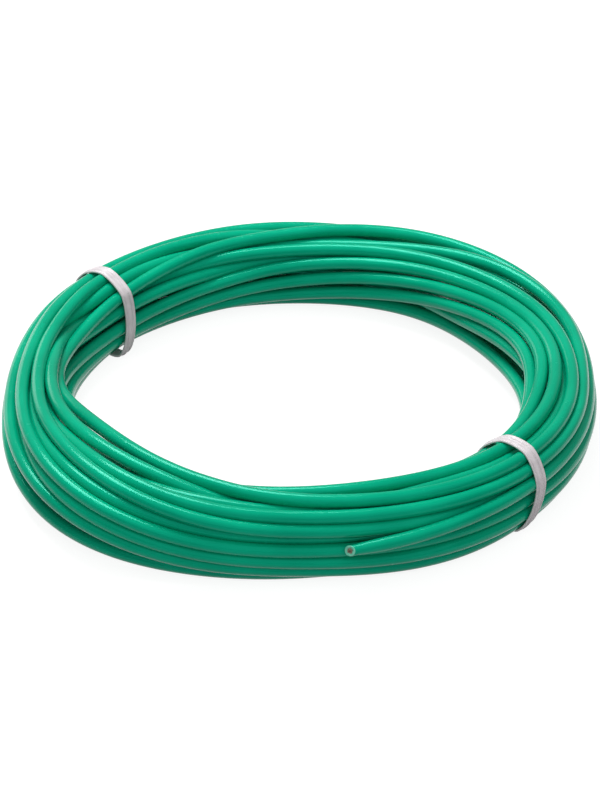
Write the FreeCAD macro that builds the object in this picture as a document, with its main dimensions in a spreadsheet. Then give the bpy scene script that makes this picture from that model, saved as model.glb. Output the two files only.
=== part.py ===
import FreeCAD, Part
import Sketcher
import math
import os

# Coil of insulated wire held by two twist ties, lying flat.
# Frame: millimetres, +Z up, origin on the floor at the middle of the ring, +X to the right, +Y to the back.
# The wire is one length of about 8 m. Its turns lie in five flat layers, and it is cut off at both ends.

V = FreeCAD.Vector
UP = V(0, 0, 1)

doc = FreeCAD.newDocument("wire_coil")

DRIVING = {
    # wire
    "wire_diameter": 3.5,
    "conductor_diameter": 2.0,
    "conductor_clearance": 0.05,
    "conductor_depth": 3.0,
    "wire_sides": 4,
    "wire_flat": 2.7,
    "floor_flat_depth": 0.1,
    # coil
    "coil_radius": 68.0,
    "turn_pitch": 4.4,
    "layer_pitch": 4.7,
    "layers": 5,
    "turns_per_layer": 4,
    "lowest_turns": 3,
    "climb_bearing": 50.0,
    "free_end_bearing": 280.5,
    # ties
    "left_tie_bearing": 139.0,
    "right_tie_bearing": 323.0,
    "tie_width": 3.8,
    "tie_thickness": 0.4,
    "rib_width": 1.1,
    "rib_thickness": 0.9,
    "core_thickness": 0.5,
    "tie_clearance": 0.3,
    "tail_length": 9.0,
    "tail_spacing": 1.4,
    "groove_side_clearance": 0.3,
}


def make_sheet(values):
    """One row for each driving dimension, with its name as the cell's alias."""
    table = doc.addObject("Spreadsheet::Sheet", "sizes")
    for row, (name, value) in enumerate(values.items(), start=1):
        table.set(f"A{row}", name)
        table.set(f"B{row}", str(value))
        table.setAlias(f"B{row}", name)
    doc.recompute()
    return table


sheet = make_sheet(DRIVING)


def size(name):
    return float(getattr(sheet, name))


def bearing_direction(degrees):
    """Level unit vector that points from the ring's middle at a bearing, anticlockwise from +X."""
    turn = math.radians(degrees)
    return V(math.cos(turn), math.sin(turn), 0)


# Sizes that follow from the driving ones
coil_height = (size("layers") - 1) * size("layer_pitch") + size("wire_flat") - size("floor_flat_depth")
layer_reach = size("turns_per_layer") * size("turn_pitch") / 2


def layer_height(layer):
    """Height of the wire's middle in a layer, counted from the top one."""
    above_lowest = size("layers") - 1 - layer
    return size("wire_flat") / 2 - size("floor_flat_depth") + above_lowest * size("layer_pitch")


# The wire's route: half turns about two centres spiral in and out, and the wire climbs where they reverse


def arc_edge(start, corner, end):
    """Arc from start to end whose two tangents meet at corner, as far from one end as from the other."""
    middle = (start + end) * 0.5
    rise = corner - middle
    half_chord = start.distanceToPoint(end) / 2
    if rise.Length < 1e-9:
        return Part.LineSegment(start, end).toShape()
    half_angle = math.atan2(rise.Length, half_chord)
    crown = middle + rise * (half_chord * math.tan(half_angle / 2) / rise.Length)
    return Part.Arc(start, crown, end).toShape()


def biarc(start, start_way, end, end_way):
    """Two arcs that leave start along one unit vector and reach end along another, with equal tangents."""
    across = end - start
    both_ways = start_way + end_way
    square_term = 2 * (1 - start_way.dot(end_way))
    linear_term = 2 * across.dot(both_ways)
    root = math.sqrt(linear_term ** 2 + 4 * square_term * across.dot(across))
    reach = (root - linear_term) / (2 * square_term)
    first_corner = start + start_way * reach
    second_corner = end - end_way * reach
    joint = (first_corner + second_corner) * 0.5
    return [arc_edge(start, first_corner, joint), arc_edge(joint, second_corner, end)]


def half_turn(crossing, next_crossing, side, height, enters_climbing, leaves_climbing):
    """Edges of one half turn between two distances from the middle, on one side of the climb line and the other."""
    outward = bearing_direction(size("climb_bearing")) * side
    ahead = UP.cross(outward)
    centre = outward * ((crossing - next_crossing) / 2)
    radius = (crossing + next_crossing) / 2
    start = centre + outward * radius + UP * height
    middle = centre + ahead * radius + UP * height
    end = centre - outward * radius + UP * height
    half_layer = UP * (size("layer_pitch") / 2)
    slope = 1.5 * size("layer_pitch") / (math.pi * radius)
    if enters_climbing:
        way = (ahead - UP * slope).normalize()
        edges = biarc(start + half_layer, way, middle, outward * -1)
        return edges + [arc_through(centre, radius, middle, end, height)]
    if leaves_climbing:
        way = (ahead * -1 - UP * slope).normalize()
        edges = biarc(middle, outward * -1, end - half_layer, way)
        return [arc_through(centre, radius, start, middle, height)] + edges
    return [Part.Arc(start, middle, end).toShape()]


def arc_through(centre, radius, start, end, height):
    """Level arc of a quarter turn or less about a centre."""
    level_centre = centre + UP * height
    outward = ((start + end) * 0.5 - level_centre).normalize()
    return Part.Arc(start, level_centre + outward * radius, end).toShape()


def free_end_arc(crossing, next_crossing, side, height):
    """The rest of the half turn in which the wire's upper end lies, led by a straight run of one diameter."""
    outward = bearing_direction(size("climb_bearing")) * side
    centre = outward * ((crossing - next_crossing) / 2) + UP * height
    radius = (crossing + next_crossing) / 2
    out = bearing_direction(size("free_end_bearing"))
    start = centre + out * radius
    end = centre - outward * radius
    straight_end = start - UP.cross(out) * size("wire_diameter")
    straight = Part.LineSegment(straight_end, start).toShape()
    level_centre = centre - UP * height
    return [straight, arc_through(level_centre, radius, start, end, height)]


def wire_route():
    """The wire's middle line from its upper end, one half turn after another, to its lower end."""
    layers = int(size("layers"))
    skipped = (size("free_end_bearing") - size("climb_bearing")) % 360 // 180
    crossing = size("coil_radius") + layer_reach
    edges = []
    side = 1
    for layer in range(layers):
        step = size("turn_pitch") / 2 * (-1 if layer % 2 == 0 else 1)
        lowest = layer == layers - 1
        halves = int(2 * size("lowest_turns" if lowest else "turns_per_layer"))
        for half in range(halves):
            next_crossing = crossing + step
            height = layer_height(layer)
            if layer > 0 or half > skipped:
                enters = layer > 0 and half == 0
                leaves = not lowest and half == halves - 1
                edges += half_turn(crossing, next_crossing, side, height, enters, leaves)
            elif half == skipped:
                edges += free_end_arc(crossing, next_crossing, side, height)
            crossing = next_crossing
            side = -side
    outward = bearing_direction(size("climb_bearing")) * side
    end = outward * crossing + UP * layer_height(layers - 1)
    edges.append(Part.LineSegment(end, end + UP.cross(outward) * size("wire_diameter")).toShape())
    return edges


def faceted_section(start, out, lean):
    """The wire's section at its start, a little inside the round wire, with a flat side down but for the lean."""
    sides = int(size("wire_sides"))
    radius = size("wire_flat") / 2 / math.cos(math.pi / sides)
    corners = []
    for corner in range(sides + 1):
        turn = 2 * math.pi * (corner + 0.5) / sides - lean
        corners.append(start + (out * math.cos(turn) + UP * math.sin(turn)) * radius)
    return Part.makePolygon(corners)


def least_gap(sections, per_turn):
    """Least distance between points of sections that lie half a turn or more apart along the wire."""
    rings = []
    for section in sections:
        corners = [vertex.Point for vertex in section.Vertexes]
        sides = [(a + b) * 0.5 for a, b in zip(corners, corners[1:] + corners[:1])]
        rings.append(corners + sides)
    middles = [sum(ring, V()) * (1 / len(ring)) for ring in rings]
    reach = 2.5 * size("wire_diameter")
    least = reach
    for i, middle in enumerate(middles):
        for j in range(i + per_turn // 2, len(middles)):
            if middle.distanceToPoint(middles[j]) > reach:
                continue
            for a in rings[i]:
                for b in rings[j]:
                    least = min(least, a.distanceToPoint(b))
    return least


def pipe_shell(route, section):
    """A sweep of the section along the route that is ready to be built or sampled."""
    sweep = Part.BRepOffsetAPI.MakePipeShell(route)
    sweep.add(section)
    return sweep


def lean_at_end(sections):
    """How far the last section has turned about the wire, in radians, from a flat side straight down."""
    corners = [vertex.Point for vertex in sections[-1].Vertexes]
    middle = sum(corners, V()) * (1 / len(corners))
    outward = V(middle.x, middle.y, 0).normalize()
    right_top = max(corners, key=lambda corner: corner.z + corner.dot(outward)) - middle
    return math.atan2(right_top.dot(outward), right_top.z) - math.pi / size("wire_sides")


def wound_tube():
    """The whole wire as one tube, which stands on a flat side all along its lowest layer."""
    edges = wire_route()
    route = Part.Wire(edges)
    start = edges[0].Vertexes[0].Point
    out = bearing_direction(size("free_end_bearing"))
    per_turn = 60
    samples = int(per_turn * size("layers") * size("turns_per_layer"))
    upright = faceted_section(start, out, 0)
    lean = lean_at_end(pipe_shell(route, upright).simulate(samples))
    section = faceted_section(start, out, -lean)
    gap = least_gap(pipe_shell(route, section).simulate(samples), per_turn)
    sweep = pipe_shell(route, section)
    sweep.build()
    sweep.makeSolid()
    tube = sweep.shape()
    expected = Part.Face(section).Area * route.Length
    print(f"wire length {route.Length:.1f} mm, least gap between its turns {gap:.2f} mm")
    print(f"tube volume {tube.Volume:.1f} mm3, section times length {expected:.1f} mm3")
    return tube, edges


# The coil: the tube with a level underside, room under it for the ties and a bore at each end


def add_box(name, length, width, height):
    """A box whose three sides are expressions in the sheet's names."""
    box = doc.addObject("Part::Box", name)
    box.setExpression("Length", length)
    box.setExpression("Width", width)
    box.setExpression("Height", height)
    return box


def add_cylinder(name, radius, height, mouth, inward):
    """A cylinder that goes into the wire from the middle of its cut face."""
    cylinder = doc.addObject("Part::Cylinder", name)
    cylinder.setExpression("Radius", radius)
    cylinder.setExpression("Height", height)
    cylinder.Placement = FreeCAD.Placement(mouth, FreeCAD.Rotation(UP, inward))
    return cylinder


def floor_cutter():
    """A slab whose top is the floor, which leaves the lowest turns with one level underside."""
    side = "4 * sizes.coil_radius"
    slab = add_box("floor_slab", side, side, "sizes.wire_diameter")
    slab.Placement.Base = V(-2 * size("coil_radius"), -2 * size("coil_radius"), -size("wire_diameter"))
    return slab


def tie_groove(name, bearing):
    """Shallow groove across the underside of the lowest turns, which the tie passes through."""
    length = "2 * sizes.turns_per_layer * sizes.turn_pitch"
    width = "sizes.tie_width + 2 * sizes.groove_side_clearance"
    height = "sizes.wire_diameter + sizes.rib_thickness + sizes.tie_clearance"
    groove = add_box(name, length, width, height)
    turned = FreeCAD.Rotation(UP, bearing)
    across = size("tie_width") / 2 + size("groove_side_clearance")
    corner = V(size("coil_radius") - 2 * layer_reach, -across, -size("wire_diameter"))
    groove.Placement = FreeCAD.Placement(turned.multVec(corner), turned)
    return groove


def cut_coil(tube, cutters):
    """The sub-part for the wire: the plain tube less everything that cuts it."""
    cutter = doc.addObject("Part::MultiFuse", "coil_cutters")
    cutter.Shapes = cutters
    coil = doc.addObject("Part::Cut", "wire_coil")
    coil.Base = tube
    coil.Tool = cutter
    return coil


# The ties: a ribbon with a rib along its middle, bent once round the turns, and the steel core inside the rib


def tie_path(side, core_reach):
    """Middle line of a tie in its upright plane, from one tail's tip round the turns to the other tail's tip.

    Points are (distance from the ring's middle, height). The tails point away from the ring's middle when
    side is 1 and towards it when side is -1.
    """
    half_wire = size("wire_flat") / 2
    half_tie = size("rib_thickness") / 2
    stand_off = half_tie + size("tie_clearance")
    reach = layer_reach - size("turn_pitch") / 4 + half_wire + stand_off
    top = coil_height + stand_off
    low = half_tie
    upper_tail = low + size("tail_spacing")
    tip = reach + size("tail_length") + core_reach
    bend = size("tail_spacing") / 2
    corner = half_wire / 3
    outline = [
        (tip, upper_tail),
        (reach + bend, upper_tail),
        (reach, upper_tail + bend),
        (reach, top - half_wire),
        (reach - half_wire, top),
        (half_wire - reach, top),
        (-reach, top - half_wire),
        (-reach, low + corner),
        (corner - reach, low),
        (tip, low),
    ]
    return [V(size("coil_radius") + side * away, height, 0) for away, height in outline]


def band_outline(path, thickness):
    """Corners of a band of the given thickness along a path, with its two sides mitred at each bend."""
    ways = [(b - a).normalize() for a, b in zip(path, path[1:])]
    left = []
    right = []
    for point, before, after in zip(path, ways[:1] + ways, ways + ways[-1:]):
        square = V(-before.y, before.x, 0) + V(-after.y, after.x, 0)
        mitre = square * (thickness / square.dot(square))
        left.append(point + mitre)
        right.append(point - mitre)
    return left + right[::-1]


def add_outline_sketch(body, name, corners):
    """Closed sketch of straight lines on the body's own upright plane."""
    sketch = body.newObject("Sketcher::SketchObject", name)
    plane = next(feature for feature in body.Origin.OriginFeatures if feature.Role == "XZ_Plane")
    sketch.AttachmentSupport = [(plane, "")]
    sketch.MapMode = "FlatFace"
    for start, end in zip(corners, corners[1:] + corners[:1]):
        sketch.addGeometry(Part.LineSegment(start, end), False)
    for line in range(len(corners)):
        sketch.addConstraint(Sketcher.Constraint("Coincident", line, 2, (line + 1) % len(corners), 1))
    return sketch


def add_band(body, kind, name, corners, width):
    """A pad or pocket of an outline, as wide to one side of the sketch as to the other."""
    sketch = add_outline_sketch(body, name + "_outline", corners)
    band = body.newObject(kind, name)
    band.Profile = sketch
    band.SideType = "Symmetric"
    band.setExpression("Length", width)
    return band


def make_tie(name, bearing, side):
    """Ribbon and core of one tie, as two bodies turned to its bearing."""
    path = tie_path(side, 0)
    core_path = tie_path(side, size("core_thickness"))
    turned = FreeCAD.Placement(V(), FreeCAD.Rotation(UP, bearing))
    ribbon = doc.addObject("PartDesign::Body", name + "_ribbon")
    add_band(ribbon, "PartDesign::Pad", name + "_wings", band_outline(path, size("tie_thickness")), "sizes.tie_width")
    add_band(ribbon, "PartDesign::Pad", name + "_rib", band_outline(path, size("rib_thickness")), "sizes.rib_width")
    core_outline = band_outline(core_path, size("core_thickness"))
    add_band(ribbon, "PartDesign::Pocket", name + "_channel", core_outline, "sizes.core_thickness")
    core = doc.addObject("PartDesign::Body", name + "_core")
    add_band(core, "PartDesign::Pad", name + "_wire", core_outline, "sizes.core_thickness")
    ribbon.Placement = turned
    core.Placement = turned
    return [ribbon, core]


def build():
    """All sub-parts, standing on the floor with the middle of the coil's own box over the origin."""
    shape, edges = wound_tube()
    tube = doc.addObject("Part::Feature", "wound_tube")
    tube.Shape = shape
    bore = "sizes.conductor_diameter / 2 + sizes.conductor_clearance"
    depth = "sizes.conductor_depth"
    upper_mouth = edges[0].Vertexes[0].Point
    upper_way = edges[0].tangentAt(edges[0].FirstParameter)
    lower_mouth = edges[-1].Vertexes[-1].Point
    lower_way = edges[-1].tangentAt(edges[-1].LastParameter) * -1
    cutters = [
        floor_cutter(),
        tie_groove("left_groove", size("left_tie_bearing")),
        tie_groove("right_groove", size("right_tie_bearing")),
        add_cylinder("upper_bore", bore, depth, upper_mouth, upper_way),
        add_cylinder("lower_bore", bore, depth, lower_mouth, lower_way),
    ]
    conductor = "sizes.conductor_diameter / 2"
    parts = [
        cut_coil(tube, cutters),
        add_cylinder("conductor_upper_end", conductor, depth, upper_mouth, upper_way),
        add_cylinder("conductor_lower_end", conductor, depth, lower_mouth, lower_way),
    ]
    parts += make_tie("left_tie", size("left_tie_bearing"), 1)
    parts += make_tie("right_tie", size("right_tie_bearing"), -1)
    doc.recompute()
    middle = tube.Shape.BoundBox.Center
    to_origin = FreeCAD.Placement(V(-middle.x, -middle.y, 0), FreeCAD.Rotation())
    for part in parts:
        part.Placement = to_origin * part.Placement
        part.Label = part.Name
    doc.recompute()
    return parts


def check_and_write(parts):
    """Stops at any object that failed, then writes one file for each sub-part."""
    for item in doc.Objects:
        if "Invalid" in item.State or "Error" in item.State:
            raise RuntimeError(f"{item.Name} failed: {item.State}")
    os.makedirs("parts", exist_ok=True)
    for part in parts:
        if part.Shape.isNull() or not part.Shape.isValid() or len(part.Shape.Solids) != 1:
            raise RuntimeError(f"{part.Label} isn't one valid solid")
        part.Shape.exportStep(f"parts/{part.Label}.step")
        box = part.Shape.BoundBox
        print(f"{part.Label}: {part.Shape.Volume:.1f} mm3, z {box.ZMin:.2f} to {box.ZMax:.2f}")


check_and_write(build())
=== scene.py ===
import math

import bpy
import numpy as np
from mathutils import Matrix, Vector


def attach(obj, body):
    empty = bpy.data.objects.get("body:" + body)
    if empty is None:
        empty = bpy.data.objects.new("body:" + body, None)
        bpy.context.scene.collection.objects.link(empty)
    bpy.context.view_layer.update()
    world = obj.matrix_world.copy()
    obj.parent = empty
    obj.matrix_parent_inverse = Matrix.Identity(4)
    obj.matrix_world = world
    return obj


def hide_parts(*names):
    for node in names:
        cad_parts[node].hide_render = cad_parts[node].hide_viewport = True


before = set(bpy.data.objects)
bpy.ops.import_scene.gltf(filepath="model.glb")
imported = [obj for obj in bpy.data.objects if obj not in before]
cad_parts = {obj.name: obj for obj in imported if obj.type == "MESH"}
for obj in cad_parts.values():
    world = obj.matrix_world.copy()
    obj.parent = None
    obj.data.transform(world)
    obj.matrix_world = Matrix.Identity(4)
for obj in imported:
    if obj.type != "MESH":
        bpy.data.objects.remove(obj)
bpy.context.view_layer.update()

# Coil of green insulated wire lying flat, held by two white twist ties.
# Metres, +Z up, origin on the floor at the middle of the ring. The photograph was taken from -Y, looking
# down. A bearing is the angle round the ring, anticlockwise from +X. Widths and heights in the tables are in
# millimetres.

MM = 0.001

# Sizes
WIRE_DIAMETER = 3.5 * MM
CONDUCTOR_DIAMETER = 1.4 * MM
COIL_RADIUS = 68 * MM
FREE_END_BEARING = 280
LOWER_END_BEARING = 50
WHOLE_TURNS = 18
LEFT_TIE_BEARING = 141.5
RIGHT_TIE_BEARING = 320
LEFT_TIE_FOOT_SHIFT = 2.3 * MM
LEFT_TIE_SLACK = 1.5 * MM
RIGHT_TIE_FOOT_SHIFT = -3.4 * MM

# The bundle's section all round the ring: bearing, half width, and how far its middle lies outside the
# ring's radius
BUNDLE_WIDTHS = [
    (0, 9.5, -1.4), (15, 11.5, -0.9), (30, 13.0, -0.3), (45, 13.8, 1.0), (60, 12.7, 2.2), (75, 10.9, 1.0),
    (90, 9.8, 0.0), (105, 9.3, 0.2), (120, 9.5, -0.5), (135, 9.4, -0.8), (150, 9.0, -0.6),
    (165, 8.0, -0.4), (180, 8.6, -0.6), (195, 10.3, 0.0), (210, 12.7, 1.3), (225, 14.7, 1.9),
    (240, 13.2, 1.7), (255, 10.9, 0.6), (270, 8.7, -1.3), (285, 10.3, -0.9), (300, 10.2, 0.6),
    (315, 8.2, 1.4), (330, 9.1, 0.6), (345, 9.6, -0.4),
]
BUNDLE_HALF_HEIGHT = 11.3
BULGE_BEARING = 220
BULGE_REACH = 25
BULGE_HEIGHT = 1.2
BUNDLE_ROUNDNESS = 2.4

# Where each turn lies, from the free end on: bearing, which each row counts from 280 to 640, angle round the
# bundle's section from its outer side up and over, and how many wires deep it lies, or proud where negative.
TURNS = [
    # the free end lies proud on the outer side, then climbs over the crest to the inner side
    [(280, 3.5, -0.9), (285, 6, -0.9), (291, 11.5, -0.8), (297, 18, -0.7), (304, 19, -0.5),
     (312, 15, -0.3), (325, 12, -0.1), (340, 19, 0), (353, 11, 0), (365, 10, 0), (385, 20, 0.1),
     (398, 42, 0), (409, 48, 0), (419, 54, 0), (429, 62, 0), (439, 75, 0), (450, 92, 0), (462, 108, 0),
     (474, 117, 0), (487, 127, 0), (499, 138, 0), (511, 151, 0), (522, 161, 0), (531, 156, 0.7),
     (539, 147, 1.1), (547, 139, 0.9), (553, 137, 0.5), (559, 136, -0.1), (567, 134, -0.4),
     (578, 133, -0.4), (592, 132, -0.1), (602, 127, 0), (612, 111, 0), (621, 93, 0), (630, 79, 0)],
    # back along the top, under its own first crossing, and up again beside it
    [(280, 77, 0), (295, 75, 0), (310, 68, 0), (320, 60, 0), (334, 60, 0), (350, 63, 0), (367, 76, 0),
     (379, 87, 0), (391, 93, 0), (403, 102, 0), (414, 115, 0), (426, 123, 0), (438, 129, 0),
     (450, 134, 0), (462, 141, 0), (474, 145, 0.2), (487, 144, 0.9), (505, 140, 1.2), (520, 132, 0.8),
     (530, 130, 0.2), (538, 117, 0), (548, 108, 0), (562, 101, 0), (580, 97, 0), (592, 97, 0),
     (604, 101, 0.2), (614, 100, 0.9), (626, 98, 1.5)],
    # inside, out on the inner wall for a short way, through the middle and out on the outer side
    [(280, 95, 1.7), (300, 100, 1.6), (320, 120, 1.5), (340, 140, 1.3), (350, 146, 1.1), (358, 153, 0.8),
     (367, 161, 0.2), (380, 170, 0), (392, 177, 0), (404, 185, 0.1), (415, 194, 0.5), (430, 200, 1.2),
     (460, 190, 2.3), (500, 120, 2.4), (530, 50, 2.0), (548, 36, 1.5), (558, 32, 1.1), (566, 28, 0.7),
     (575, 23, 0.3), (583, 16, 0.1), (590, 8, 0), (598, 3, 0), (605, -2, 0), (613, -8, 0), (621, -17, 0),
     (630, -27, 0)],
    # down the outer side
    [(280, -27, 0), (290, -22, 0), (300, -22, 0), (316, -32, 0), (330, -34, 0), (345, -32, 0),
     (365, -32, 0), (390, -25, 0), (420, -5, 0), (450, 14, 0), (480, 16, 0), (505, 16, 0), (525, 8, 0),
     (545, -2, 0), (556, -6, -0.1), (565, -17, -0.2), (575, -29, -0.2), (586, -40, -0.2),
     (594, -48, -0.2), (603, -53, -0.1), (615, -58, 0.1)],
    # a turn along the bottom and one above it, inside
    [(280, -78, 0), (300, -76, 0), (340, -80, 0), (380, -74, 0), (420, -58, 0), (450, -44, 0),
     (500, -46, 0), (540, -56, 0), (580, -78, 0), (610, -94, 0)],
    [(280, -110, 0.9), (300, -115, 1.5), (340, -110, 2.1), (400, -90, 1.9), (430, -70, 1.9),
     (450, -80, 2.3), (500, -80, 2.2), (530, -60, 2.2), (555, -40, 1.8), (580, -35, 1.7),
     (595, -45, 1.9), (610, -90, 2.1), (625, -150, 1.0)],
    # three turns up the inner wall
    [(280, -168, 0), (300, -170, 0), (330, -170, 0), (345, -170, 0.1), (357, -167, 0.2),
     (368, -165, -0.2), (381, -159, -0.2), (391, -158, -0.1), (404, -150, 0), (417, -136, 0),
     (428, -130, 0), (439, -121, 0), (450, -112, 0), (470, -104, 0), (500, -102, 0), (530, -112, 0),
     (560, -135, 0), (600, -170, 0)],
    [(280, 165, 0), (300, 168, 0), (320, 172, 0), (340, 172, 0), (349, 165, 0), (355, 150, 0),
     (361, 138, 0), (373, 142, 0), (386, 154, 0), (400, 166, 0), (414, 180, 0), (427, 194, 0),
     (439, 204, 0), (450, 215, 0), (461, 226, 0), (475, 236, 0), (500, 240, -0.1), (515, 237, -0.1),
     (530, 234, 0.2), (560, 205, 0), (600, 165, 0)],
    [(280, 138, 0), (300, 142, 0), (320, 146, 0), (333, 148, 0), (340, 144, 0.2), (347, 130, 0.2),
     (352, 116, 0), (362, 109, 0), (374, 119, 0), (387, 129, 0), (399, 142, 0), (413, 158, 0),
     (426, 172, 0), (438, 178, 0), (450, 184, 0), (462, 194, 0), (473, 202, 0), (484, 213, 0),
     (494, 216, 0), (510, 214, 0), (522, 209, 0.2), (533, 203, 0.3), (545, 192, 0.2), (560, 178, 0),
     (585, 155, 0.4), (602, 141, 0.7), (611, 128, 0.4), (621, 119, 0.1), (630, 117, 0)],
    # over the inner edge, along the top and under the crossing
    [(280, 114, 0), (297, 116, 0), (305, 112, 0), (313, 110, 0), (320, 104, 0), (327, 99, 0),
     (341, 95, 0), (351, 94, 0), (364, 93, 0), (376, 101, 0), (388, 111, 0), (401, 122, 0),
     (413, 135, 0), (426, 147, 0), (438, 154, 0), (450, 162, 0), (462, 172, 0), (474, 180, 0),
     (485, 185, 0), (497, 187, 0), (508, 192, 0), (520, 196, 0), (531, 196, 0.3), (545, 175, 0.9),
     (560, 150, 1.3), (575, 130, 1.4), (585, 112, 1.3), (593, 98, 0.9), (600, 90, 0.5), (605, 87, 0.3),
     (613, 82, 0.3), (621, 76, 0.6), (630, 80, 1.2)],
    [(280, 90, 1.0), (286, 93, 0.6), (296, 94, 0.3), (304, 92, 0.3), (311, 87, 0.4), (326, 82, 0.5),
     (342, 80, 0.5), (353, 81, 0.5), (362, 88, 0.7), (372, 96, 1.0), (385, 105, 1.2), (400, 118, 1.2),
     (420, 138, 1.2), (440, 148, 1.0), (452, 152, 0.6), (462, 156, 0.4), (474, 160, 0.2), (487, 163, 0),
     (499, 166, 0), (510, 171, 0.2), (518, 170, 0.8), (530, 150, 1.3), (545, 120, 1.3), (560, 100, 1.3),
     (570, 92, 0.9), (578, 87, 0.3), (583, 84, 0), (591, 80, 0), (598, 70, 0), (606, 62, 0),
     (614, 53, 0), (622, 46, 0), (630, 41, 0)],
    # along the outer shoulder to the crest, under the crossing and out beside it
    [(280, 43, 0), (295, 47, 0), (311, 38, 0), (325, 38, 0), (336, 43, 0), (346, 45, 0), (359, 43, 0),
     (372, 47, 0), (386, 48, 0), (396, 62, 0), (406, 80, 0), (416, 93, 0.1), (427, 103, 0.5),
     (436, 110, 0.9), (448, 112, 1.2), (460, 108, 1.2), (470, 103, 0.9), (480, 102, 0.5),
     (490, 105, 0.2), (500, 110, 0), (511, 118, 0.1), (520, 117, 0.8), (530, 103, 1.5), (545, 82, 1.6),
     (558, 70, 1.3), (566, 64, 0.8), (575, 59, 0.4), (584, 52, 0.3), (592, 44, 0.3), (606, 30, 0.3),
     (621, 13, 0.3), (632, 7, 0.3)],
    # under the free end, then out along the top at the back and down across the left side
    [(280, 8, 0.4), (290, 12, 0.9), (310, 28, 1.4), (340, 55, 2.0), (370, 70, 2.0), (400, 72, 1.6),
     (430, 78, 1.2), (442, 82, 0.9), (450, 83, 0.6), (456, 81, 0.3), (461, 80, 0.1), (473, 84, 0),
     (484, 82, 0), (497, 90, 0), (510, 95, 0), (523, 103, 0), (537, 99, 0), (548, 90, 0), (559, 83, 0),
     (569, 80, 0), (577, 75, 0), (584, 72, 0), (598, 56, 0), (606, 48, 0), (614, 36, 0), (622, 27, 0),
     (630, 21, 0)],
    [(280, 26, 0), (295, 28, 0.1), (303, 29, 0.4), (312, 30, 0.9), (330, 30, 1.2), (360, 24, 1.2),
     (400, 26, 0.7), (415, 34, 0.4), (429, 46, 0.1), (439, 57, 0), (450, 64, 0), (461, 64, 0),
     (472, 63, 0), (483, 62, 0), (494, 59, 0), (506, 64, 0), (520, 77, 0), (533, 77, 0), (545, 67, 0),
     (556, 57, 0), (567, 50, 0), (576, 42, 0), (584, 33, 0), (591, 24, 0), (598, 17, 0), (606, 9, 0),
     (613, 3, 0), (621, -3, 0)],
    # down the outer side and along the bottom to the lower end
    [(280, -4, 0.1), (290, -6, 0.4), (300, -8, 0.4), (314, -8, 0.2), (325, -6, 0), (340, -8, 0),
     (360, -12, 0), (385, -5, 0), (400, 8, 0), (420, 18, 0), (440, 28, 0), (460, 36, 0), (480, 38, 0),
     (494, 39, 0), (505, 44, 0), (517, 47, 0), (528, 40, 0), (539, 31, 0), (551, 18, 0), (563, 18, 0),
     (573, 10, 0), (582, -2, 0), (590, -5, 0), (598, -8, 0), (606, -17, 0), (614, -27, 0), (622, -40, 0)],
    [(280, -56, 0), (290, -54, -0.2), (300, -52, -0.2), (318, -50, -0.2), (335, -54, -0.1),
     (360, -56, 0), (400, -45, 0), (440, -20, 0), (470, -14, 0), (500, -16, 0), (540, -28, 0),
     (580, -60, 0), (610, -78, 0)],
    [(280, -98, 0), (340, -104, 0), (400, -90, 0), (450, -74, 0), (500, -74, 0), (550, -86, 0),
     (600, -112, 0)],
    [(280, -128, 0), (340, -130, 0), (400, -116, 0), (440, -106, 0.6), (470, -98, 1.0), (520, -106, 1.1),
     (560, -128, 0.6), (600, -138, 0)],
    [(280, -146, 0), (310, -148, 0.2), (330, -160, 0.7), (345, -175, 0.9), (365, -180, 0.9),
     (385, -170, 1.1), (400, -140, 1.4), (410, -120, 1.4)],
]

CAMERA_ELEVATION = math.radians(31.1)

# How the turns are laid
STEP = 5
STEPS_PER_TURN = 360 // STEP
PLAN_EASINGS = 4
PLAN_EASE = 0.5
SETTLING_ROUNDS = 400
PUSH_SHARE = 0.5
SMOOTHING = 0.35
SMOOTHING_BACK = -0.3
LEAST_SPACING = 0.96 * WIRE_DIAMETER
SURFACE_HOLD = 0.5
INNER_HOLD = 0.01
SURFACE_YIELD = 0.1
FULLY_FACING = 0.25
SHOWN_DEPTH = 0.25
HIDDEN_DEPTH = 0.75
TIE_LIFT = 1.3 * MM
TIE_LIFT_REACH = 14


def smooth_round(rows, column, bearings):
    """Value of one column of evenly spaced rows at bearings, along a smooth closed curve through all rows."""
    values = np.array([row[column] for row in rows], dtype=float)
    spacing = 360 / len(rows)
    place = (np.asarray(bearings) % 360) / spacing
    first = np.floor(place).astype(int)
    t = place - first
    before, here, after, beyond = (values[(first + shift) % len(rows)] for shift in (-1, 0, 1, 2))
    bend = 2 * before - 5 * here + 4 * after - beyond
    twist = 3 * (here - after) + beyond - before
    return here + t * (after - before + t * (bend + t * twist)) / 2


def bearing_gap(bearings, middle):
    """How many degrees bearings lie from a middle bearing, either way round."""
    return np.abs((np.asarray(bearings) - middle + 180) % 360 - 180)


def bell(bearings, middle, reach):
    """1 at the middle bearing, falling smoothly to nothing over about twice the reach."""
    return np.exp(-(bearing_gap(bearings, middle) / reach) ** 2)


def floor_height(bearings):
    """Height of whatever the turns rest on: the floor, or the two ties that pass under them."""
    left = bell(bearings, LEFT_TIE_BEARING, TIE_LIFT_REACH)
    right = bell(bearings, RIGHT_TIE_BEARING, TIE_LIFT_REACH)
    return TIE_LIFT * (left + right)


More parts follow.
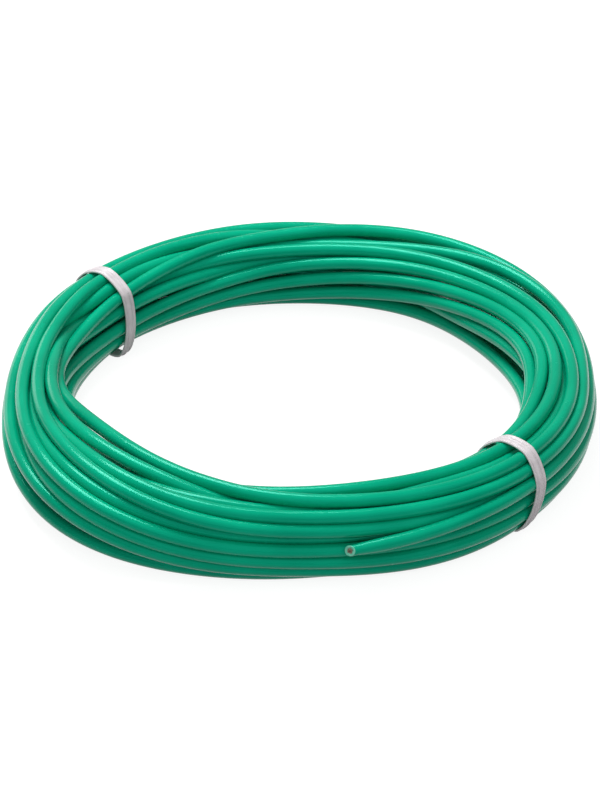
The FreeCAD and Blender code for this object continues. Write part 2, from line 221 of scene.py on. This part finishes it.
def bundle_places(bearings, angles, depths):
    """Distance outside the ring's radius and height of the wire's middle, from its angle and depth."""
    half_height = (BUNDLE_HALF_HEIGHT + BULGE_HEIGHT * bell(bearings, BULGE_BEARING, BULGE_REACH)) * MM
    half_width = smooth_round(BUNDLE_WIDTHS, 1, bearings) * MM
    middle = smooth_round(BUNDLE_WIDTHS, 2, bearings) * MM
    inset = (depths + 0.5) * WIRE_DIAMETER
    wide = np.clip(half_width - inset, MM, None)
    high = np.clip(half_height - inset, MM, None)
    across = np.cos(np.radians(angles))
    up = np.sin(np.radians(angles))
    power = 2 / BUNDLE_ROUNDNESS
    away = middle + wide * np.sign(across) * np.abs(across) ** power
    height = half_height + high * np.sign(up) * np.abs(up) ** power
    return np.column_stack([away, height])


def ease(values, share):
    """Moves each value towards the middle of its two neighbours along the wire."""
    eased = values.copy()
    eased[1:-1] += share * ((values[:-2] + values[2:]) / 2 - values[1:-1])
    return eased


def seen_share(bearings, angles, depths):
    """1 where the wire lies in the photograph's sight, 0 where it lies inside, below or behind the bundle."""
    turn = np.radians(bearings)
    angle = np.radians(angles)
    facing = np.sin(angle) * math.sin(CAMERA_ELEVATION)
    facing -= np.cos(angle) * np.sin(turn) * math.cos(CAMERA_ELEVATION)
    shallow = (HIDDEN_DEPTH - np.abs(depths)) / (HIDDEN_DEPTH - SHOWN_DEPTH)
    return np.clip(facing / FULLY_FACING, 0, 1) * np.clip(shallow, 0, 1)


def wire_plan():
    """Bearings all along the wire, its planned places in the bundle, and how much of it shows."""
    keys = []
    for turn, row in enumerate(TURNS):
        keys += [(bearing + 360 * turn, angle, depth) for bearing, angle, depth in row]
    at, angle, depth = (np.array(column, dtype=float) for column in zip(*keys))
    angle = np.degrees(np.unwrap(np.radians(angle)))
    last = LOWER_END_BEARING + 360 * (WHOLE_TURNS + 1)
    bearings = np.arange(FREE_END_BEARING, last + 1, STEP, dtype=float)
    angles = np.interp(bearings, at, angle)
    depths = np.interp(bearings, at, depth)
    for _ in range(PLAN_EASINGS):
        angles = ease(angles, PLAN_EASE)
        depths = ease(depths, PLAN_EASE)
    return bearings, bundle_places(bearings, angles, depths), seen_share(bearings, angles, depths)[:, None]


def pushes(places, yields):
    """Moves that part all turns which lie nearer than they can, the most to those that yield the most."""
    push = np.zeros_like(places)
    for turns in range(1, WHOLE_TURNS + 1):
        shift = turns * STEPS_PER_TURN
        apart = places[shift:] - places[:-shift]
        distance = np.linalg.norm(apart, axis=1, keepdims=True) + 1e-9
        lack = np.clip(LEAST_SPACING - distance, 0, None)
        move = apart * lack / distance / (yields[shift:] + yields[:-shift])
        push[shift:] += move * yields[shift:]
        push[:-shift] -= move * yields[:-shift]
    return push


def settle(bearings, plan, seen):
    """Places of the wire all along, with its turns beside and on each other and none inside another."""
    places = plan.copy()
    lowest = floor_height(bearings) + WIRE_DIAMETER / 2
    holds = INNER_HOLD + (SURFACE_HOLD - INNER_HOLD) * seen
    yields = 1 + (SURFACE_YIELD - 1) * seen
    for number in range(SETTLING_ROUNDS):
        left = 1 - number / SETTLING_ROUNDS
        places += PUSH_SHARE * pushes(places, yields)
        places += left * holds * (plan - places)
        places = ease(ease(places, SMOOTHING), SMOOTHING_BACK)
        places[:, 1] = np.maximum(places[:, 1], lowest)
    return places


def in_space(bearings, places):
    """Points in the frame for bearings and places in the bundle."""
    turn = np.radians(bearings)
    away = COIL_RADIUS + places[:, 0]
    return np.column_stack([away * np.cos(turn), away * np.sin(turn), places[:, 1]])


# Meshes


def new_mesh_object(name, vertices, faces, material, smooth=True):
    """Mesh object at the origin."""
    mesh = bpy.data.meshes.new(name)
    mesh.from_pydata([tuple(v) for v in vertices], [], faces)
    mesh.materials.append(material)
    mesh.polygons.foreach_set("use_smooth", [smooth] * len(mesh.polygons))
    mesh.update()
    piece = bpy.data.objects.new(name, mesh)
    bpy.context.scene.collection.objects.link(piece)
    return piece


def spline_points(name, points):
    """Points read along one smooth spline that has the given control points."""
    curve = bpy.data.curves.new(name, "CURVE")
    curve.dimensions = "3D"
    curve.resolution_u = 3
    spline = curve.splines.new("NURBS")
    spline.points.add(len(points) - 1)
    for point, place in zip(spline.points, points):
        point.co = (*place, 1)
    spline.order_u = 3
    spline.use_endpoint_u = True
    guide = bpy.data.objects.new(name, curve)
    bpy.context.scene.collection.objects.link(guide)
    bpy.context.view_layer.update()
    line = bpy.data.meshes.new_from_object(guide)
    read = np.array([vertex.co[:] for vertex in line.vertices])
    bpy.data.meshes.remove(line)
    bpy.data.objects.remove(guide)
    bpy.data.curves.remove(curve)
    return read


def unit(vectors):
    return vectors / np.linalg.norm(vectors, axis=-1, keepdims=True)


def path_frames(path, outward):
    """Tangent, side and top directions along a path, with the side as near to outward as it can be."""
    tangents = unit(np.gradient(path, axis=0))
    sides = unit(outward - tangents * np.sum(outward * tangents, axis=1, keepdims=True))
    return tangents, sides, np.cross(tangents, sides)


TUBE_SIDES = 20
CUT_BEVEL = 0.12 * MM
BORE_DEPTH = 3 * MM
BORE_CLEARANCE = 0.05 * MM
FREE_END_STRAIGHT = 1.7 * MM
FREE_END_SQUEEZE = 0.24
SQUEEZE_LENGTH = 5 * MM
FREE_CUT_SLANT = 0.8
FREE_CUT_FACES = unit(np.array([0.1, -0.85, 0.5]))
STRAND_RINGS = 4
STRAND_SIDES = 8
STRAND_SPARE_ROOM = 0.2
STRAND_RING_TWIST = 0.3
STRAND_TIP_SHARE = 0.75
STRAND_TIP_LENGTH = 0.05 * MM
STRANDS_STAND_BACK = -0.25 * MM
STRANDS_STAND_PROUD = 0.15 * MM
STRANDS_END_GAP = 0.1 * MM


def ring_faces(first, second, count):
    """Quads between two rings of vertices."""
    return [(first + i, first + (i + 1) % count, second + (i + 1) % count, second + i) for i in range(count)]


def straighten_free_end(path):
    """The path with a short straight run before its first point."""
    way = unit(path[0] - path[2])
    return np.vstack([path[0] + way * FREE_END_STRAIGHT, path])


def cut_end(middle, rim, inward, radius, slant):
    """Rings from the insulation's outside over its cut face into the bore, for a cut at a slant.

    rim holds the directions round the wire. The side that faces the cut's own way is cut the shortest.
    """
    lean = (rim @ FREE_CUT_FACES)[:, None] * slant * inward
    bore = CONDUCTOR_DIAMETER / 2 + BORE_CLEARANCE
    steps = [(radius, 1.0), (radius - CUT_BEVEL / 3, 0.3), (radius - CUT_BEVEL, 0), (bore, 0)]
    rings = [middle + (rim + lean) * reach + inward * CUT_BEVEL * back for reach, back in steps]
    return rings + [middle + rim * bore + inward * BORE_DEPTH]


def make_insulation(path, material, cut_material):
    """The green tube, cut off at both ends, with the bore that the conductor lies in."""
    tangents, sides, tops = path_frames(path, unit(path * (1, 1, 0)))
    turn = 2 * np.pi * np.arange(TUBE_SIDES) / TUBE_SIDES
    rims = np.cos(turn)[None, :, None] * sides[:, None] + np.sin(turn)[None, :, None] * tops[:, None]
    lengths = np.concatenate([[0], np.cumsum(np.linalg.norm(np.diff(path, axis=0), axis=1))])
    radii = WIRE_DIAMETER / 2 * (1 - FREE_END_SQUEEZE * np.exp(-(lengths / SQUEEZE_LENGTH) ** 2))
    body = [middle + rim * radius for middle, rim, radius in zip(path, rims, radii)]
    free_end = cut_end(path[0], rims[0], tangents[0], radii[0], FREE_CUT_SLANT)
    lower_end = cut_end(path[-1], rims[-1], -tangents[-1], radii[-1], 0)
    rings = free_end[::-1] + body[1:-1] + lower_end
    along = np.concatenate([[0] * len(free_end), lengths[1:-1], [lengths[-1]] * len(lower_end)])
    faces = []
    for i in range(len(rings) - 1):
        faces += ring_faces(i * TUBE_SIDES, (i + 1) * TUBE_SIDES, TUBE_SIDES)
    faces.append(tuple(reversed(range(TUBE_SIDES))))
    faces.append(tuple(range((len(rings) - 1) * TUBE_SIDES, len(rings) * TUBE_SIDES)))
    tube = new_mesh_object("wire_insulation", np.concatenate(rings), faces, material)
    tube.data.materials.append(cut_material)
    cut_rings = len(free_end) - 1
    for face in tube.data.polygons:
        ring = face.index // TUBE_SIDES
        if ring < cut_rings or ring >= len(rings) - 1 - cut_rings:
            face.material_index = 1
    layer = tube.data.uv_layers.new(name="along_wire")
    for face in tube.data.polygons:
        closes_ring = face.index % TUBE_SIDES == TUBE_SIDES - 1
        for loop, corner in zip(face.loop_indices, face.vertices):
            round_wire = corner % TUBE_SIDES / TUBE_SIDES
            if closes_ring and round_wire == 0:
                round_wire = 1
            layer.data[loop].uv = (along[corner // TUBE_SIDES], round_wire)
    return tube


def make_conductor(name, end, inward, slant, material, seed):
    """The bare end of the fine copper strands, cut off nearly level with the insulation."""
    random = np.random.default_rng(seed)
    side = unit(np.cross(inward, (0, 0, 1)))
    top = np.cross(inward, side)
    strand = CONDUCTOR_DIAMETER / 2 / (2 * STRAND_RINGS + 1 + STRAND_SPARE_ROOM)
    spots = [(0.0, 0.0)]
    for ring in range(1, STRAND_RINGS + 1):
        for k in range(6 * ring):
            turn = 2 * math.pi * k / (6 * ring) + STRAND_RING_TWIST * ring
            spots.append((2 * ring * strand * math.cos(turn), 2 * ring * strand * math.sin(turn)))
    vertices = []
    faces = []
    turn = 2 * np.pi * np.arange(STRAND_SIDES) / STRAND_SIDES
    circle = np.cos(turn)[:, None] * side + np.sin(turn)[:, None] * top
    for across, up in spots:
        away = side * across + top * up
        back = (away @ FREE_CUT_FACES) * slant - random.uniform(STRANDS_STAND_BACK, STRANDS_STAND_PROUD)
        middle = end + away + inward * back
        tip = len(vertices)
        body = tip + STRAND_SIDES
        foot = body + STRAND_SIDES
        vertices += list(middle + circle * strand * STRAND_TIP_SHARE)
        vertices += list(middle + inward * STRAND_TIP_LENGTH + circle * strand)
        vertices += list(end + away + inward * (BORE_DEPTH - STRANDS_END_GAP) + circle * strand)
        faces.append(tuple(range(tip, body)))
        faces += [face[::-1] for face in ring_faces(tip, body, STRAND_SIDES)]
        faces += [face[::-1] for face in ring_faces(body, foot, STRAND_SIDES)]
        faces.append(tuple(reversed(range(foot, foot + STRAND_SIDES))))
    return new_mesh_object(name, vertices, faces, material)


# Ties

# Ribbon's section in millimetres: across its width, and out from the turns. A rib in the middle holds the
# steel core.
RIBBON_PROFILE = [
    (-1.85, 0.12), (-1.85, -0.12), (-1.75, -0.17), (-0.6, -0.17), (-0.3, -0.3), (0.3, -0.3), (0.6, -0.17),
    (1.75, -0.17), (1.85, -0.12), (1.85, 0.14), (1.75, 0.32), (1.5, 0.34), (1.3, 0.06), (0.75, 0.0),
    (0.5, 0.38), (0.2, 0.52), (-0.2, 0.52), (-0.5, 0.38), (-0.75, 0.0), (-1.3, 0.06), (-1.5, 0.34),
    (-1.75, 0.32),
]
RIBBON_HALF_THICKNESS = 0.3 * MM
RIB_HEIGHT = 0.55 * MM
TIE_STEP = 3
TIE_ROUNDING = 18
TIE_LOOSENESS = 0.8
SLACK_ANGLE = 225
SLACK_REACH = 35
TAIL_LENGTH = 9 * MM
TAIL_TURNS = 1.75
TAIL_HEIGHT = 2.4 * MM
TAIL_POINTS = 40
KNOT_HEIGHT = TAIL_HEIGHT + 3 * RIB_HEIGHT
KNOT_OVERLAP = 0.6 * MM
CORE_DIAMETER = 0.5 * MM
CORE_SIDES = 8
CORE_TIP_POINTS = 8


def places_at(path, bearing):
    """Where the wire's line crosses the upright plane at a bearing: distances from the axis, and heights."""
    out = np.array([math.cos(math.radians(bearing)), math.sin(math.radians(bearing)), 0])
    ahead = np.array([-out[1], out[0], 0])
    side = path @ ahead
    crossing = np.nonzero((side[:-1] < 0) & (side[1:] >= 0) & (path[:-1] @ out > 0))[0]
    share = (side[crossing] / (side[crossing] - side[crossing + 1]))[:, None]
    points = path[crossing] * (1 - share) + path[crossing + 1] * share
    return np.column_stack([points @ out, points[:, 2]])


def tie_loop(path, bearing, slack):
    """Outline of a tie in its plane: a stiff band that bears on the outermost turns and bridges the rest.

    Slack is how far it hangs off the turns at its inner foot.
    """
    spots = places_at(path, bearing)
    middle = (spots.min(axis=0) + spots.max(axis=0)) / 2
    angles = np.arange(0, 360, TIE_STEP)
    turn = np.radians(angles)
    ways = np.column_stack([np.cos(turn), np.sin(turn)])
    tight = ((spots - middle) @ ways.T).max(axis=0) + WIRE_DIAMETER / 2 + RIBBON_HALF_THICKNESS
    reach = tight
    for _ in range(TIE_ROUNDING):
        reach = (np.roll(reach, 1) + 2 * reach + np.roll(reach, -1)) / 4
    reach = reach + TIE_LOOSENESS * (tight - reach).max() + slack * bell(angles, SLACK_ANGLE, SLACK_REACH)
    slope = (np.roll(reach, -1) - np.roll(reach, 1)) / (2 * math.radians(TIE_STEP))
    loop = middle + ways * reach[:, None] + np.column_stack([-ways[:, 1], ways[:, 0]]) * slope[:, None]
    loop[:, 1] = np.maximum(loop[:, 1], RIB_HEIGHT)
    return loop


def sweep(profile, line, acrosses, outsides, joined=False):
    """Vertices and faces of a closed profile, in millimetres, along a line whose ends may be joined."""
    profile = np.array(profile) * MM
    rings = [
        point + profile[:, :1] * across + profile[:, 1:] * outside
        for point, across, outside in zip(line, acrosses, outsides)
    ]
    count = len(profile)
    faces = []
    for i in range(len(rings) - 1):
        faces += ring_faces(i * count, (i + 1) * count, count)
    if joined:
        faces += ring_faces((len(rings) - 1) * count, 0, count)
    else:
        faces.append(tuple(reversed(range(count))))
        faces.append(tuple(range((len(rings) - 1) * count, len(rings) * count)))
    return np.concatenate(rings), faces


def tail_runs(start, way, length):
    """Lines of the two ribbon ends twisted round each other, with their directions across and outside."""
    along = np.linspace(0, length, TAIL_POINTS)
    side = unit(np.cross((0, 0, 1), way))
    top = np.cross(way, side)
    for phase in (0, math.pi):
        turn = phase + 2 * math.pi * TAIL_TURNS * along / TAIL_LENGTH
        outsides = np.cos(turn)[:, None] * side + np.sin(turn)[:, None] * top
        acrosses = np.cross(way, outsides)
        yield start + way * along[:, None] + outsides * RIBBON_HALF_THICKNESS, acrosses, outsides


def join(runs):
    """One set of vertices and faces from several."""
    vertices = []
    faces = []
    for points, quads in runs:
        faces += [tuple(corner + len(vertices) for corner in quad) for quad in quads]
        vertices += list(points)
    return vertices, faces


def make_tie(name, path, bearing, foot_shift, slack, side, ribbon_material, core_material):
    """A ribbon drawn round the turns with its two ends twisted together, and the steel core at their tips.

    The ends point away from the ring's middle when side is 1, and towards it when side is -1. The tie leans,
    so that its foot lies further along the ring than its crest by foot_shift.
    """
    out = np.array([math.cos(math.radians(bearing)), math.sin(math.radians(bearing)), 0])
    up = np.array([0, 0, 1])
    ahead = np.cross(up, out)
    loop = tie_loop(path, bearing, slack)
    crest = loop[:, 1].max()
    line = loop[:, :1] * out + loop[:, 1:] * up + foot_shift * (1 - loop[:, 1:] / crest) * ahead
    tangents = unit(np.roll(loop, -1, axis=0) - np.roll(loop, 1, axis=0))
    outsides = tangents[:, 1:] * out - tangents[:, :1] * up
    runs = [sweep(RIBBON_PROFILE, line, np.tile(ahead, (len(line), 1)), outsides, joined=True)]
    low = loop[loop[:, 1] < KNOT_HEIGHT]
    knot = low[np.argmax(side * low[:, 0])]
    start = out * (knot[0] - side * KNOT_OVERLAP) + up * TAIL_HEIGHT
    start = start + ahead * foot_shift * (1 - TAIL_HEIGHT / crest)
    for run, acrosses, radials in tail_runs(start, out * side, TAIL_LENGTH):
        runs.append(sweep(RIBBON_PROFILE, run, acrosses, radials))
    ribbon = new_mesh_object(name + "_ribbon", *join(runs), ribbon_material)
    turn = 2 * np.pi * np.arange(CORE_SIDES) / CORE_SIDES
    wire = np.column_stack([np.cos(turn), np.sin(turn)]) * CORE_DIAMETER / 2 / MM
    runs = []
    for run, acrosses, radials in tail_runs(start, out * side, TAIL_LENGTH + CORE_DIAMETER):
        tip = slice(-CORE_TIP_POINTS, None)
        runs.append(sweep(wire, run[tip], acrosses[tip], radials[tip]))
    core = new_mesh_object(name + "_core", *join(runs), core_material)
    return ribbon, core


# Materials


def node_material(name, colour, roughness, metallic=0.0):
    material = bpy.data.materials.new(name)
    material.use_nodes = True
    nodes = material.node_tree.nodes
    shader = nodes["Principled BSDF"]
    shader.inputs["Base Color"].default_value = (*colour, 1)
    shader.inputs["Roughness"].default_value = roughness
    shader.inputs["Metallic"].default_value = metallic
    return material, nodes, material.node_tree.links, shader


def add_noise(nodes, links, place, scale, detail=3.0):
    """Noise from about 0.3 to 0.7 at a place."""
    noise = nodes.new("ShaderNodeTexNoise")
    noise.inputs["Scale"].default_value = scale
    noise.inputs["Detail"].default_value = detail
    links.new(place, noise.inputs["Vector"])
    return noise.outputs[0]


def add_range(nodes, links, value, low, high, start=0.3, end=0.7):
    """A value stretched from start..end to low..high."""
    stretch = nodes.new("ShaderNodeMapRange")
    stretch.inputs["From Min"].default_value = start
    stretch.inputs["From Max"].default_value = end
    stretch.inputs["To Min"].default_value = low
    stretch.inputs["To Max"].default_value = high
    links.new(value, stretch.inputs["Value"])
    return stretch.outputs[0]


def add_math(nodes, links, operation, first, second):
    """Arithmetic on two values, each a number or a socket."""
    sums = nodes.new("ShaderNodeMath")
    sums.operation = operation
    for socket, value in zip(sums.inputs, (first, second)):
        if isinstance(value, (int, float)):
            socket.default_value = value
        else:
            links.new(value, socket)
    return sums.outputs[0]


def add_mix(nodes, links, share, first, second):
    """Colour between two others."""
    mix = nodes.new("ShaderNodeMix")
    mix.data_type = "RGBA"
    mix.inputs["A"].default_value = (*first, 1)
    mix.inputs["B"].default_value = (*second, 1)
    links.new(share, mix.inputs["Factor"])
    return mix.outputs["Result"]


def add_bump(nodes, links, shader, height, depth, strength):
    bump = nodes.new("ShaderNodeBump")
    bump.inputs["Distance"].default_value = depth
    bump.inputs["Strength"].default_value = strength
    links.new(height, bump.inputs["Height"])
    links.new(bump.outputs[0], shader.inputs["Normal"])


def wire_place(nodes, links, stretch):
    """Place on the wire's surface as a line along it and a circle round it, with no seam."""
    places = nodes.new("ShaderNodeUVMap")
    places.uv_map = "along_wire"
    parts = nodes.new("ShaderNodeSeparateXYZ")
    links.new(places.outputs[0], parts.inputs[0])
    turn = add_math(nodes, links, "MULTIPLY", parts.outputs["Y"], 2 * math.pi)
    joined = nodes.new("ShaderNodeCombineXYZ")
    links.new(add_math(nodes, links, "MULTIPLY", parts.outputs["X"], stretch), joined.inputs["X"])
    links.new(add_math(nodes, links, "COSINE", turn, 0.0), joined.inputs["Y"])
    links.new(add_math(nodes, links, "SINE", turn, 0.0), joined.inputs["Z"])
    return joined.outputs[0]


def make_pvc():
    """Soft glossy green PVC with faint draw marks along it, cloudy colour and small dull scuffs."""
    material, nodes, links, shader = node_material("green_pvc", (0.001, 0.35, 0.19), 0.25)
    shader.inputs["Specular IOR Level"].default_value = 0.36
    shader.inputs["Specular Tint"].default_value = (0.07, 1, 0.8, 1)
    spot = nodes.new("ShaderNodeTexCoord").outputs["Object"]
    draw_marks = add_noise(nodes, links, wire_place(nodes, links, 12), 9, 4)
    clouds = add_noise(nodes, links, spot, 55, 2)
    grain = add_noise(nodes, links, spot, 2600, 2)
    scuffs = add_range(nodes, links, add_noise(nodes, links, spot, 420, 5), 0, 1, 0.6, 0.72)
    shade = add_math(nodes, links, "ADD", clouds, add_math(nodes, links, "MULTIPLY", draw_marks, 0.35))
    share = add_range(nodes, links, shade, 0, 1, 0.5, 0.85)
    colour = add_mix(nodes, links, share, (0, 0.32, 0.175), (0.001, 0.38, 0.21))
    links.new(colour, shader.inputs["Base Color"])
    gloss = add_range(nodes, links, draw_marks, 0.13, 0.22)
    dulled = add_math(nodes, links, "ADD", gloss, add_math(nodes, links, "MULTIPLY", scuffs, 0.15))
    links.new(dulled, shader.inputs["Roughness"])
    height = add_math(nodes, links, "ADD", draw_marks, add_math(nodes, links, "MULTIPLY", grain, 0.25))
    add_bump(nodes, links, shader, height, 0.04 * MM, 0.5)
    return material


def make_cut_pvc():
    """The cut faces of the insulation: a dull pale green with fine knife lines."""
    material, nodes, links, shader = node_material("cut_pvc", (0.17, 0.66, 0.46), 0.65)
    spot = nodes.new("ShaderNodeTexCoord").outputs["Object"]
    stretched = nodes.new("ShaderNodeMapping")
    stretched.inputs["Scale"].default_value = (1, 0.2, 1)
    links.new(spot, stretched.inputs["Vector"])
    knife_lines = add_noise(nodes, links, stretched.outputs[0], 5200, 3)
    share = add_range(nodes, links, knife_lines, 0, 1)
    colour = add_mix(nodes, links, share, (0.1, 0.54, 0.37), (0.27, 0.78, 0.58))
    links.new(colour, shader.inputs["Base Color"])
    add_bump(nodes, links, shader, knife_lines, 0.05 * MM, 0.8)
    return material


def make_copper():
    """Bare copper strands, browned unevenly."""
    material, nodes, links, shader = node_material("copper_strands", (0.72, 0.4, 0.28), 0.38, 1.0)
    spot = nodes.new("ShaderNodeTexCoord").outputs["Object"]
    stain = add_noise(nodes, links, spot, 1900, 4)
    share = add_range(nodes, links, stain, 0, 1)
    colour = add_mix(nodes, links, share, (0.07, 0.055, 0.04), (0.5, 0.39, 0.3))
    links.new(colour, shader.inputs["Base Color"])
    links.new(add_range(nodes, links, stain, 0.3, 0.55), shader.inputs["Roughness"])
    add_bump(nodes, links, shader, stain, 0.02 * MM, 0.4)
    return material


def make_steel():
    """Thin galvanised wire inside the ties, with a dull mottled coat."""
    material, nodes, links, shader = node_material("galvanised_steel", (0.55, 0.55, 0.56), 0.42, 1.0)
    spot = nodes.new("ShaderNodeTexCoord").outputs["Object"]
    mottle = add_noise(nodes, links, spot, 2400, 3)
    share = add_range(nodes, links, mottle, 0, 1)
    colour = add_mix(nodes, links, share, (0.42, 0.42, 0.43), (0.66, 0.66, 0.67))
    links.new(colour, shader.inputs["Base Color"])
    links.new(add_range(nodes, links, mottle, 0.34, 0.55), shader.inputs["Roughness"])
    return material


def make_tie_plastic():
    """Thin white plastic ribbon, a little cloudy, with a waxy face and slight wrinkles."""
    material, nodes, links, shader = node_material("white_ribbon", (0.63, 0.585, 0.605), 0.4)
    shader.inputs["Subsurface Weight"].default_value = 0.15
    shader.inputs["Subsurface Radius"].default_value = (0.6 * MM, 0.5 * MM, 0.5 * MM)
    shader.inputs["Subsurface Scale"].default_value = 1
    spot = nodes.new("ShaderNodeTexCoord").outputs["Object"]
    clouds = add_noise(nodes, links, spot, 260, 3)
    wrinkles = add_noise(nodes, links, spot, 900, 4)
    share = add_range(nodes, links, clouds, 0, 1)
    colour = add_mix(nodes, links, share, (0.57, 0.525, 0.545), (0.69, 0.65, 0.67))
    links.new(colour, shader.inputs["Base Color"])
    links.new(add_range(nodes, links, wrinkles, 0.3, 0.5), shader.inputs["Roughness"])
    add_bump(nodes, links, shader, wrinkles, 0.06 * MM, 0.5)
    return material


# Camera, floor and light

CAMERA_DISTANCE = 12.2 * COIL_RADIUS
CAMERA_TARGET = Vector((0, 0, 11 * MM))
FOCAL_PIXELS = 3184
IMAGE_HEIGHT = 800
TARGET_PIXELS_ABOVE_MIDDLE = 10.3
SENSOR = 36
FLOOR_GLOW = 0.88
FLOOR_REACH = 3
WORLD_STRENGTH = 0.27


def add_camera():
    """The photograph's viewpoint: from the front, looking down at 31 degrees."""
    camera = bpy.data.cameras.new("camera")
    camera.sensor_width = SENSOR
    camera.lens = FOCAL_PIXELS / IMAGE_HEIGHT * SENSOR
    camera.shift_y = -TARGET_PIXELS_ABOVE_MIDDLE / IMAGE_HEIGHT
    camera.clip_start = 0.01
    viewer = bpy.data.objects.new("camera", camera)
    back = Vector((0, -math.cos(CAMERA_ELEVATION), math.sin(CAMERA_ELEVATION)))
    viewer.location = CAMERA_TARGET + back * CAMERA_DISTANCE
    viewer.rotation_euler = (-back).to_track_quat("-Z", "Y").to_euler()
    bpy.context.scene.collection.objects.link(viewer)
    bpy.context.scene.camera = viewer


def add_panel_light(name, place, width, height, power):
    """Soft rectangular lamp that points at the coil."""
    lamp = bpy.data.lights.new(name, "AREA")
    lamp.shape = "RECTANGLE"
    lamp.size = width
    lamp.size_y = height
    lamp.energy = power
    holder = bpy.data.objects.new(name, lamp)
    holder.location = place
    holder.rotation_euler = (-Vector(place)).to_track_quat("-Z", "Y").to_euler()
    bpy.context.scene.collection.objects.link(holder)


def shows_background(nodes, links):
    """1 for rays that should meet a plain white background: from the camera, and mirrored or bent ones."""
    path = nodes.new("ShaderNodeLightPath")
    seen = add_math(nodes, links, "MAXIMUM", path.outputs["Is Camera Ray"], path.outputs["Is Glossy Ray"])
    return add_math(nodes, links, "MAXIMUM", seen, path.outputs["Is Transmission Ray"])


def light_world():
    """Weak even light from all round."""
    world = bpy.data.worlds.new("studio")
    bpy.context.scene.world = world
    world.use_nodes = True
    light = world.node_tree.nodes["Background"]
    light.inputs["Color"].default_value = (1, 1, 1, 1)
    light.inputs["Strength"].default_value = WORLD_STRENGTH


def add_floor():
    """Plain pale floor, which looks white and shows the coil's soft shadow."""
    material, nodes, links, shader = node_material("floor", (0.26, 0.26, 0.26), 0.9)
    shader.inputs["Specular IOR Level"].default_value = 0
    glow = nodes.new("ShaderNodeEmission")
    strength = add_math(nodes, links, "MULTIPLY", shows_background(nodes, links), FLOOR_GLOW)
    links.new(strength, glow.inputs["Strength"])
    add = nodes.new("ShaderNodeAddShader")
    links.new(shader.outputs[0], add.inputs[0])
    links.new(glow.outputs[0], add.inputs[1])
    links.new(add.outputs[0], nodes["Material Output"].inputs["Surface"])
    corners = [(x * FLOOR_REACH, y * FLOOR_REACH, 0) for x, y in [(-1, -1), (1, -1), (1, 1), (-1, 1)]]
    floor = new_mesh_object("floor", corners, [(0, 1, 2, 3)], material, smooth=False)


def set_view():
    scene = bpy.context.scene
    scene.view_settings.view_transform = "Standard"


# The scene

set_view()
add_camera()
light_world()
add_floor()
add_panel_light("back_panel", (-0.2, 0.31, 0.74), 0.45, 0.4, 6.8)
add_panel_light("low_panel", (-0.36, 0.46, 0.13), 0.3, 0.18, 0.26)
add_panel_light("overhead", (0.1, -0.75, 0.9), 2, 2, 10.5)

bearings, plan, seen = wire_plan()
places = settle(bearings, plan, seen)
path = straighten_free_end(spline_points("wire_route", in_space(bearings, places)))
free_way = unit(path[1] - path[0])
lower_way = unit(path[-2] - path[-1])

wire = make_insulation(path, make_pvc(), make_cut_pvc())
copper = make_copper()
upper_end = make_conductor("upper_end_strands", path[0], free_way, FREE_CUT_SLANT, copper, 1)
lower_end = make_conductor("lower_end_strands", path[-1], lower_way, 0, copper, 2)
tie_plastic = make_tie_plastic()
steel = make_steel()
left_ribbon, left_core = make_tie(
    "left_twist", path, LEFT_TIE_BEARING, LEFT_TIE_FOOT_SHIFT, LEFT_TIE_SLACK, 1, tie_plastic, steel
)
right_ribbon, right_core = make_tie(
    "right_twist", path, RIGHT_TIE_BEARING, RIGHT_TIE_FOOT_SHIFT, 0, -1, tie_plastic, steel
)

for piece, node, finish in [
    (wire, "wire_coil", "wire_insulation"),
    (upper_end, "conductor_upper_end", "copper"),
    (lower_end, "conductor_lower_end", "copper"),
    (left_ribbon, "left_tie_ribbon", "tie_plastic"),
    (left_core, "left_tie_core", "tie_steel"),
    (right_ribbon, "right_tie_ribbon", "tie_plastic"),
    (right_core, "right_tie_core", "tie_steel"),
]:
    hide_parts(node)
    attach(piece, "root")
